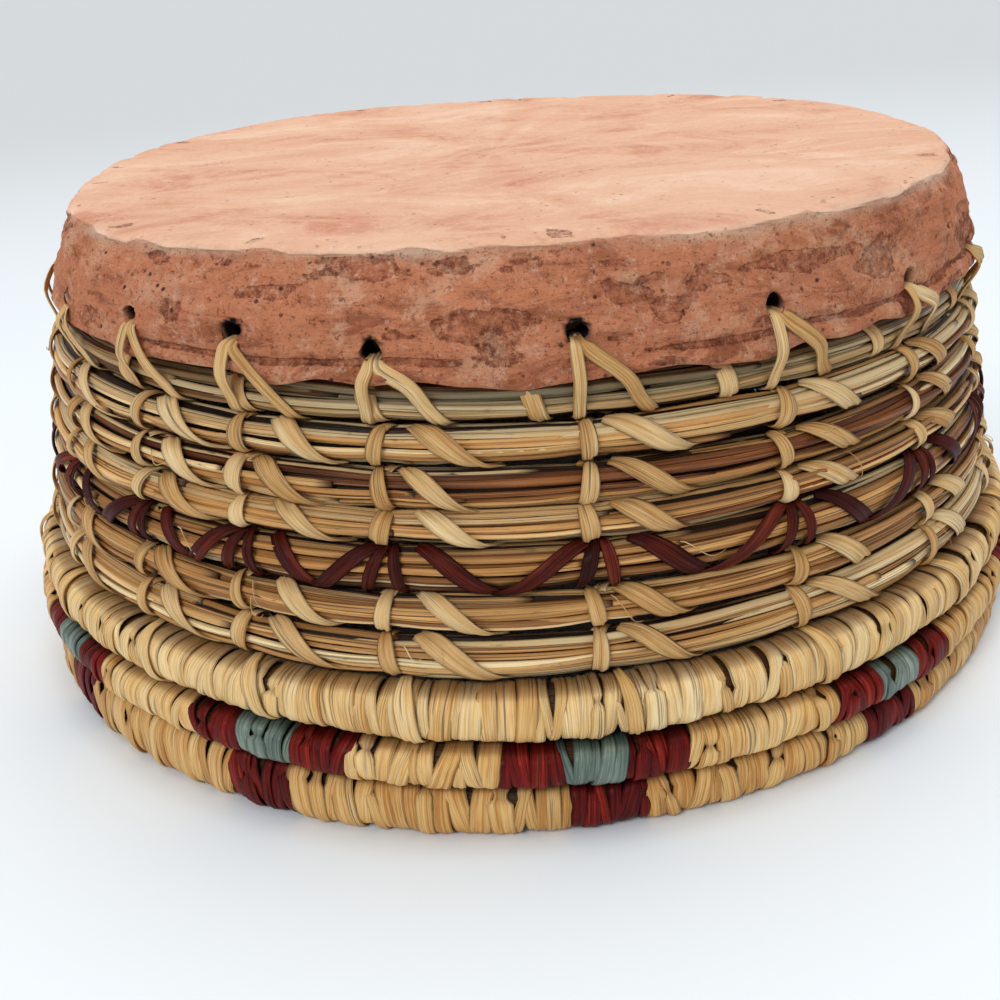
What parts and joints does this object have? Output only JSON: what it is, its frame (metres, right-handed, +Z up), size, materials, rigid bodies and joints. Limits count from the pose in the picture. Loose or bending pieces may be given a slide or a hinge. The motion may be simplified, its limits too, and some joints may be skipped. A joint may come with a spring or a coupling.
{
  "type": "pine needle basket",
  "caption": "Round coiled pine needle basket on a clay base, laced with raffia, with a wrapped rim in a stepped pattern, standing mouth down.",
  "frame": {"origin": "centre of the rim's resting plane; the basket stands on its rim as in the picture, mouth down", "axes": "+Z up, from the mouth to the clay base's outer face; -Y is the side that faces the picture's camera, +X to its right"},
  "size_m": [0.2198, 0.2192, 0.0961],
  "materials": {
    "clay": "matte",
    "needles": "satin",
    "straw_raffia": "satin",
    "burgundy_raffia": "satin",
    "teal_raffia": "satin"
  },
  "bodies": {
    "root": {"clay_base": "clay", "needle_coil_01": "needles", "needle_coil_02": "needles", "needle_coil_03": "needles", "needle_coil_04": "needles", "lacing_01": "straw_raffia", "lacing_02": "straw_raffia", "lacing_03": "straw_raffia", "lacing_04": "straw_raffia", "lacing_05": "straw_raffia", "lacing_06": "straw_raffia", "lacing_07": "straw_raffia", "lacing_08": "straw_raffia", "lacing_09": "straw_raffia", "lacing_10": "straw_raffia", "lacing_11": "straw_raffia", "lacing_12": "straw_raffia", "lacing_13": "straw_raffia", "lacing_14": "straw_raffia", "lacing_15": "straw_raffia", "lacing_16": "straw_raffia", "lacing_17": "straw_raffia", "lacing_18": "straw_raffia", "lacing_19": "straw_raffia", "lacing_20": "straw_raffia", "zigzag_stitch": "burgundy_raffia", "rim_wrap_upper": "straw_raffia", "rim_teal_01": "teal_raffia", "rim_burgundy_01": "burgundy_raffia", "rim_straw_01": "straw_raffia", "rim_teal_02": "teal_raffia", "rim_burgundy_02": "burgundy_raffia", "rim_straw_02": "straw_raffia", "rim_teal_03": "teal_raffia", "rim_burgundy_03": "burgundy_raffia", "rim_straw_03": "straw_raffia", "rim_teal_04": "teal_raffia", "rim_burgundy_04": "burgundy_raffia", "rim_straw_04": "straw_raffia", "rim_teal_05": "teal_raffia", "rim_burgundy_05": "burgundy_raffia", "rim_straw_05": "straw_raffia", "rim_teal_06": "teal_raffia", "rim_burgundy_06": "burgundy_raffia", "rim_straw_06": "straw_raffia", "rim_teal_07": "teal_raffia", "rim_burgundy_07": "burgundy_raffia", "rim_straw_07": "straw_raffia", "rim_teal_08": "teal_raffia", "rim_burgundy_08": "burgundy_raffia", "rim_straw_08": "straw_raffia", "rim_teal_09": "teal_raffia", "rim_burgundy_09": "burgundy_raffia", "rim_straw_09": "straw_raffia", "rim_teal_10": "teal_raffia", "rim_burgundy_10": "burgundy_raffia", "rim_straw_10": "straw_raffia", "rim_teal_11": "teal_raffia", "rim_burgundy_11": "burgundy_raffia", "rim_straw_11": "straw_raffia"}
  },
  "joints": []
}
